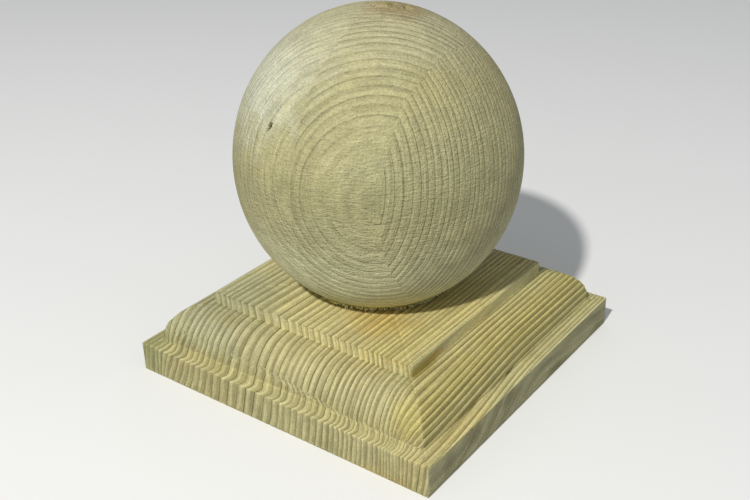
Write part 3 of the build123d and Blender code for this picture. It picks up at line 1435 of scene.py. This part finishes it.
@dataclass(frozen=True)
class TreatedWood:
    """The finish of a treated softwood board, moulded or turned.

    Attributes:
        name: which material.
        tones: its colours.
        squeeze: how the hair lines are drawn out, per axis.
        streak_low: how dark the darkest hair lines are, as a share of the colour.
        band_strength: how far the wood darkens towards each line.
        line_strength: how dark the lines are.
        line_softness: how frayed they are.
        patches: places of another colour.
        turned: whether it carries turning marks.
        bump: depth of the finest relief, in metres.
    """

    name: Material
    tones: WoodTones
    squeeze: Triple
    streak_low: float
    band_strength: float
    line_strength: float
    line_softness: float
    patches: tuple[Patch, ...]
    turned: bool
    bump: float

    def build(self, groups: dict[str, bpy.types.NodeTree]) -> bpy.types.Material:
        """Make the material: drifts, patches, rings and torn wood mixed into a colour, then fibres over all.

        Args:
            groups: the shared groups by name.

        Returns:
            The material.
        """
        material, nodes, shader, place = new_material(self.name.value)
        ring, torn = nodes.value("ring"), nodes.value("torn")
        lines = nodes.group(groups["ring_lines"], Ring=ring, Vector=place, Softness=self.line_softness)
        fibres = nodes.group(groups["fibre_grain"], Vector=place, Ring=ring, Squeeze=self.squeeze)
        drift = nodes.group(groups["weathering"], Vector=place)

        greening = nodes.math("MULTIPLY", drift.outputs["Green"], 0.5)
        warming = nodes.math("MULTIPLY", drift.outputs["Warm"], 0.4)
        colour = nodes.mix(greening, opaque(self.tones.early), opaque(self.tones.green))
        colour = nodes.mix(warming, colour, opaque(self.tones.warm))
        for patch in self.patches:
            share = nodes.math("MULTIPLY", spot(nodes, place, patch.centre, patch.reach), patch.strength)
            colour = nodes.mix(share, colour, opaque(patch.colour))
        year = nodes.math("MULTIPLY_ADD", lines.outputs["Year"], 0.5, 0.65)
        year = nodes.math("MULTIPLY", year, nodes.value("figure"))
        band = nodes.math("MULTIPLY", lines.outputs["Band"], year)
        band = nodes.math("MULTIPLY", band, self.band_strength)
        dark = nodes.math("MULTIPLY", lines.outputs["Latewood"], year)
        dark = nodes.math("MULTIPLY", dark, self.line_strength)
        colour = nodes.mix(nodes.math("MINIMUM", band, 0.9), colour, opaque(self.tones.middle))
        colour = nodes.mix(nodes.math("MINIMUM", dark, 0.92), colour, opaque(self.tones.late))
        colour = nodes.mix(nodes.math("MULTIPLY", torn, 0.5), colour, opaque(self.tones.torn))
        if self.turned:
            # Painted shade: the tears and plucked pits darken nearly to black.
            colour = nodes.mix(nodes.value("pit_shade"), colour, opaque(self.tones.pit_shade))
        shade = nodes.ramp(fibres.outputs["Streak"], 0.3, 0.7, self.streak_low, 2.0 - self.streak_low)
        shade = nodes.math("MULTIPLY", shade, nodes.ramp(drift.outputs["Mottle"], 0.3, 0.7, 0.93, 1.06))
        shade = nodes.math("MULTIPLY", shade, nodes.ramp(fibres.outputs["Speckle"], 0.3, 0.7, 0.84, 1.15))
        relief = nodes.math("MULTIPLY_ADD", fibres.outputs["Speckle"], 1.2, fibres.outputs["Streak"])
        if self.turned:
            marks = nodes.group(groups["turning_marks"], Vector=place)
            crossed = nodes.math("MULTIPLY_ADD", marks.outputs["Cross"], 0.5, marks.outputs["Mark"])
            shade = nodes.math("MULTIPLY", shade, nodes.ramp(crossed, 0.5, 1.0, 0.93, 1.06))
            relief = nodes.math("MULTIPLY_ADD", crossed, 1.8, relief)
        else:
            # The tone per face carries painted light on the level faces and on the ovolo along the grain.
            shade = nodes.math("MULTIPLY", shade, nodes.value("tone"))
        grey = nodes.add("ShaderNodeCombineColor")
        for socket in grey.inputs:
            nodes.put(shade, socket)
        colour = nodes.mix(1.0, colour, grey.outputs[0], "MULTIPLY")
        nodes.put(colour, shader.inputs["Base Color"])

        rough = nodes.math("MULTIPLY_ADD", fibres.outputs["Streak"], 0.16, 0.62)
        nodes.put(nodes.math("MULTIPLY_ADD", torn, 0.15, rough, clamp=True), shader.inputs["Roughness"])
        shader.inputs["Specular IOR Level"].default_value = 0.35
        relief = nodes.math("SUBTRACT", relief, nodes.math("MULTIPLY", lines.outputs["Latewood"], 0.5))
        nodes.put(nodes.bump(relief, 0.9, self.bump), shader.inputs["Normal"])
        return material


@dataclass(frozen=True)
class TornFibre:
    """The finish of the loose fibres: pale and dry, pushed paler and yellower as painted light bounced up
    from the table, and a little different from hair to hair.

    Attributes:
        pale: the lightest hairs.
        olive: the darkest hairs.
    """

    # Both colours are lightened and yellowed as painted light bounced up from the table.
    pale: Triple = (0.97, 0.9, 0.42)
    olive: Triple = (0.78, 0.69, 0.22)

    def build(self, groups: dict[str, bpy.types.NodeTree]) -> bpy.types.Material:
        """Make the material from each hair's own shade.

        Args:
            groups: the shared groups by name.

        Returns:
            The material.
        """
        material, nodes, shader, place = new_material(Material.FIBRE.value)
        drift = nodes.group(groups["weathering"], Vector=place)
        share = nodes.math("ADD", nodes.ramp(nodes.value("shade"), -1.0, 1.0, 0.0, 0.8),
                           nodes.math("MULTIPLY", drift.outputs["Mottle"], 0.2))
        nodes.put(nodes.mix(share, opaque(self.pale), opaque(self.olive)), shader.inputs["Base Color"])
        shader.inputs["Subsurface Weight"].default_value = 0.8
        shader.inputs["Subsurface Radius"].default_value = (1.0, 0.9, 0.6)
        shader.inputs["Subsurface Scale"].default_value = 0.001
        nodes.put(nodes.math("MULTIPLY_ADD", drift.outputs["Mottle"], 0.2, 0.72), shader.inputs["Roughness"])
        return material


@dataclass(frozen=True)
class ZincScrew:
    """The finish of the yellow-passivated screw, rubbed to bare metal in places.

    Attributes:
        plate: the plating.
        worn: the bare metal.
    """

    plate: Triple = (0.72, 0.58, 0.3)
    worn: Triple = (0.55, 0.54, 0.5)

    def build(self) -> bpy.types.Material:
        """Make the material: plate worn to bare metal where a mottle is high.

        Returns:
            The material.
        """
        material, nodes, shader, place = new_material(Material.SCREW.value)
        mottle = nodes.noise(place, 900.0, 4.0, 0.65)
        colour = nodes.mix(nodes.ramp(mottle, 0.45, 0.65), opaque(self.plate), opaque(self.worn))
        nodes.put(colour, shader.inputs["Base Color"])
        nodes.put(nodes.ramp(mottle, 0.3, 0.7, 0.28, 0.5), shader.inputs["Roughness"])
        shader.inputs["Metallic"].default_value = 1.0
        nodes.put(nodes.bump(mottle, 0.4, 0.00005), shader.inputs["Normal"])
        return material


BOARD_PATCHES: tuple[Patch, ...] = (
    # Yellow stain on the table in front of the ball, and a brown wedge of painted shade on the upright below
    # it.
    Patch((-0.025, -0.02, 0.0297), (0.016, 0.019, 0.008), (0.62, 0.42, 0.1), 0.6),
    Patch((-0.036, -0.0428, 0.0262), (0.016, 0.003, 0.0034), (0.3, 0.23, 0.05), 0.95),
    Patch((-0.029, -0.0428, 0.0268), (0.007, 0.003, 0.0018), (0.44, 0.28, 0.06), 0.8),
    # Painted shadow: a greyer, darker table on the +X side, deepening the ball's shadow there. A warm low
    # edge at the -X, -Y corner.
    Patch((0.034, -0.03, 0.0297), (0.03, 0.03, 0.004), (0.33, 0.32, 0.21), 0.7),
    Patch((-0.0625, -0.045, -0.001), (0.004, 0.022, 0.004), (0.62, 0.43, 0.1), 0.4),
    # Yellow ovolo and table strip along the -Y side, and its pale square edge with five darker blots.
    Patch((0.0, -0.0505, 0.0195), (0.3, 0.0115, 0.0095), (0.6, 0.5, 0.15), 0.75),
    Patch((0.0, -0.034, 0.0297), (0.3, 0.014, 0.004), (0.58, 0.48, 0.18), 0.6),
    Patch((0.0, -0.0625, 0.005), (0.3, 0.002, 0.3), (0.6, 0.565, 0.31), 0.8),
    Patch((-0.051, -0.0625, 0.006), (0.005, 0.002, 0.007), (0.25, 0.23, 0.11), 0.5),
    Patch((-0.035, -0.0625, 0.007), (0.007, 0.002, 0.005), (0.27, 0.24, 0.12), 0.5),
    Patch((-0.013, -0.0625, 0.0085), (0.008, 0.002, 0.004), (0.26, 0.22, 0.1), 0.55),
    Patch((0.021, -0.0625, 0.0015), (0.01, 0.002, 0.004), (0.26, 0.24, 0.08), 0.6),
    Patch((0.056, -0.0625, 0.001), (0.01, 0.002, 0.004), (0.26, 0.24, 0.08), 0.6),
    # Grey-green weathering towards the -X, +Y corner, with one warm spot at the table's foot.
    Patch((-0.048, 0.036, 0.0247), (0.006, 0.013, 0.004), (0.6, 0.42, 0.12), 0.5),
    Patch((-0.0625, 0.06, 0.008), (0.02, 0.014, 0.014), (0.27, 0.29, 0.12), 0.6),
    Patch((-0.043, 0.04, 0.0297), (0.04, 0.034, 0.012), (0.36, 0.36, 0.23), 0.75),
    Patch((-0.055, 0.042, 0.02), (0.02, 0.03, 0.012), (0.45, 0.46, 0.3), 0.6),
    Patch((-0.052, 0.024, 0.019), (0.008, 0.004, 0.008), (0.33, 0.31, 0.22), 0.5),
    # Warm lip at the -X, -Y corner.
    Patch((-0.04, -0.06, 0.0114), (0.03, 0.006, 0.003), (0.62, 0.47, 0.14), 0.35),
)

BALL_PATCHES: tuple[Patch, ...] = (
    # Paler, whiter shoulder on the -X side, a painted sheen where the main light falls, and an olive belt
    # below it.
    Patch((-0.03, 0.022, 0.112), (0.034, 0.036, 0.034), (0.66, 0.68, 0.53), 0.85),
    Patch((-0.03, -0.01, 0.08), (0.07, 0.07, 0.012), (0.3, 0.28, 0.12), 0.36),
    # Painted fill light: a paler right side and lower half, and yellow just above the seat standing in for
    # light bounced up from the table. Also a paler top.
    Patch((0.03, -0.042, 0.054), (0.06, 0.06, 0.07), (0.7, 0.645, 0.345), 0.85),
    Patch((0.0, 0.0, 0.127), (0.3, 0.3, 0.017), (0.54, 0.51, 0.33), 0.6),
    Patch((0.0, 0.0, 0.042), (0.3, 0.3, 0.029), (0.8, 0.775, 0.475), 0.9),
    Patch((0.0, 0.0, 0.027), (0.3, 0.3, 0.0085), (0.92, 0.85, 0.28), 1.0),
    # Brown stain beside the stub.
    Patch((0.0045, -0.006, 0.129), (0.018, 0.015, 0.008), (0.35, 0.24, 0.11), 0.75),
)

BOARD_TONES = WoodTones(
    early=(0.55, 0.5, 0.255),
    middle=(0.25, 0.215, 0.075),
    late=(0.15, 0.125, 0.035),
    green=(0.43, 0.42, 0.215),
    warm=(0.55, 0.44, 0.165),
    torn=(0.6, 0.55, 0.29),
)

BALL_TONES = WoodTones(
    early=(0.49, 0.45, 0.235),
    middle=(0.37, 0.335, 0.165),
    late=(0.18, 0.155, 0.065),
    green=(0.45, 0.445, 0.24),
    warm=(0.49, 0.43, 0.19),
    torn=(0.55, 0.5, 0.19),
)


def make_materials() -> None:
    """Make the shared groups, then every finish."""
    groups = {
        "ring_lines": make_ring_lines(),
        "fibre_grain": make_fibre_grain(),
        "weathering": make_weathering(),
        "turning_marks": make_turning_marks(),
    }
    TreatedWood(
        name=Material.BASE,
        tones=BOARD_TONES,
        squeeze=(0.05, 0.05, 0.12),
        streak_low=0.8,
        band_strength=0.6,
        line_strength=0.85,
        line_softness=0.14,
        patches=BOARD_PATCHES,
        turned=False,
        bump=0.00016,
    ).build(groups)
    TreatedWood(
        name=Material.BALL,
        tones=BALL_TONES,
        squeeze=(0.1, 0.1, 0.05),
        streak_low=0.87,
        band_strength=0.5,
        line_strength=0.42,
        line_softness=0.16,
        patches=BALL_PATCHES,
        turned=True,
        bump=0.0004,
    ).build(groups)
    TornFibre().build(groups)
    ZincScrew().build()


# ----------------------------------------------------------------------------------------------------- stage


@dataclass(frozen=True)
class Studio:
    """Floor, lights and camera.

    Attributes:
        eye: the camera's place, in metres.
        target: what it looks at.
        roll: how far it leans, in degrees.
        lens: focal length in millimetres on a 36 mm sensor.
        key_from: direction that the main light comes from.
        key_distance: how far off it hangs.
        key_size: how wide it is.
        key_power: its power, in watts.
        sky: strength of the even sky.
    """

    eye: Triple = (-0.2670, -0.1961, 0.2118)
    target: Triple = (0.0036, 0.0049, 0.0375)
    roll: float = -1.17
    lens: float = 49.47
    key_from: Triple = (-0.689, -0.129, 0.713)
    key_distance: float = 1.5
    key_size: float = 0.07
    key_power: float = 20.5
    sky: float = 0.35

    def floor(self) -> None:
        """Lay a plain pale floor."""
        reach = 3000.0
        corners = reach * np.array([[-1.0, -1.0, 0.0], [1.0, -1.0, 0.0], [1.0, 1.0, 0.0], [-1.0, 1.0, 0.0]])
        floor = make_piece("floor", corners, np.array([[0, 1, 2, 3]]), np.zeros((0, 3), int), {})
        material, nodes, shader, place = new_material("pale_floor")
        tone = nodes.mix(nodes.noise(place, 3.0), (0.84, 0.84, 0.83, 1.0), (0.87, 0.87, 0.87, 1.0))
        nodes.put(tone, shader.inputs["Base Color"])
        shader.inputs["Roughness"].default_value = 0.9
        floor.data.materials.append(material)
        floor.visible_diffuse = False

    def lights(self) -> None:
        """Hang one soft main light high on the -X side, and an even sky for the shadows."""
        data = bpy.data.lights.new("key", "AREA")
        data.shape = "DISK"
        data.size = self.key_size
        data.energy = self.key_power
        data.color = (1.0, 0.985, 0.95)
        lamp = bpy.data.objects.new("key", data)
        direction = Vector(self.key_from).normalized()
        lamp.location = direction * self.key_distance + Vector((0.0, 0.0, 0.06))
        lamp.rotation_mode = "QUATERNION"
        lamp.rotation_quaternion = direction.to_track_quat("Z", "Y")
        bpy.context.scene.collection.objects.link(lamp)
        world = bpy.data.worlds.new("sky")
        world.use_nodes = True
        sky = world.node_tree.nodes["Background"]
        sky.inputs["Color"].default_value = (0.93, 0.97, 1.0, 1.0)
        sky.inputs["Strength"].default_value = self.sky
        bpy.context.scene.world = world

    def camera(self) -> None:
        """Point the camera, leaned by its small roll."""
        data = bpy.data.cameras.new("camera")
        data.lens = self.lens
        data.sensor_width = 36.0
        data.clip_start = 0.01
        eye, target = Vector(self.eye), Vector(self.target)
        ahead = (target - eye).normalized()
        right = ahead.cross(Vector((0.0, 0.0, 1.0))).normalized()
        up = right.cross(ahead)
        lean = math.radians(self.roll)
        across = right * math.cos(lean) + up * math.sin(lean)
        upright = up * math.cos(lean) - right * math.sin(lean)
        camera = bpy.data.objects.new("camera", data)
        turned = Matrix((across, upright, -ahead)).transposed().to_4x4()
        camera.matrix_world = Matrix.Translation(eye) @ turned
        bpy.context.scene.collection.objects.link(camera)
        bpy.context.scene.camera = camera

    def build(self) -> None:
        """Set up everything round the object."""
        self.floor()
        self.lights()
        self.camera()
        bpy.context.scene.view_settings.view_transform = "Standard"


def main() -> None:
    """Build the stage, the finishes and every piece, in order."""
    logging.basicConfig(level=logging.INFO, format="%(name)s %(message)s")
    make_materials()

    low, high = (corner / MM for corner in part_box("base_board"))
    board = BaseBoard(half=(high.x - low.x) / 2, thickness=high.z)
    board.build("base_board_moulding", board.moulding_legs())
    board.build("base_board_table", board.table_legs())
    moulding_fibres(board)

    back_low, back_high = (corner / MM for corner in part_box("ball_inner_back"))
    front_low, _ = (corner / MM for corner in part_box("ball_inner_front"))
    stub_height, taller = 0.8, 1.058
    radius = (back_high.x - back_low.x) / 2
    half_height = radius * taller
    ball_top = back_high.z - stub_height
    shape = BallShape(radius, half_height, ball_top - half_height, back_low.z, back_high.z)
    Ball(shape, (front_low.y, back_low.y, back_high.y)).build()
    seat_fringe(shape)
    stub_fibres(shape)

    FixingScrew().build()
    Studio().build()


if __name__ == "__main__":
    main()
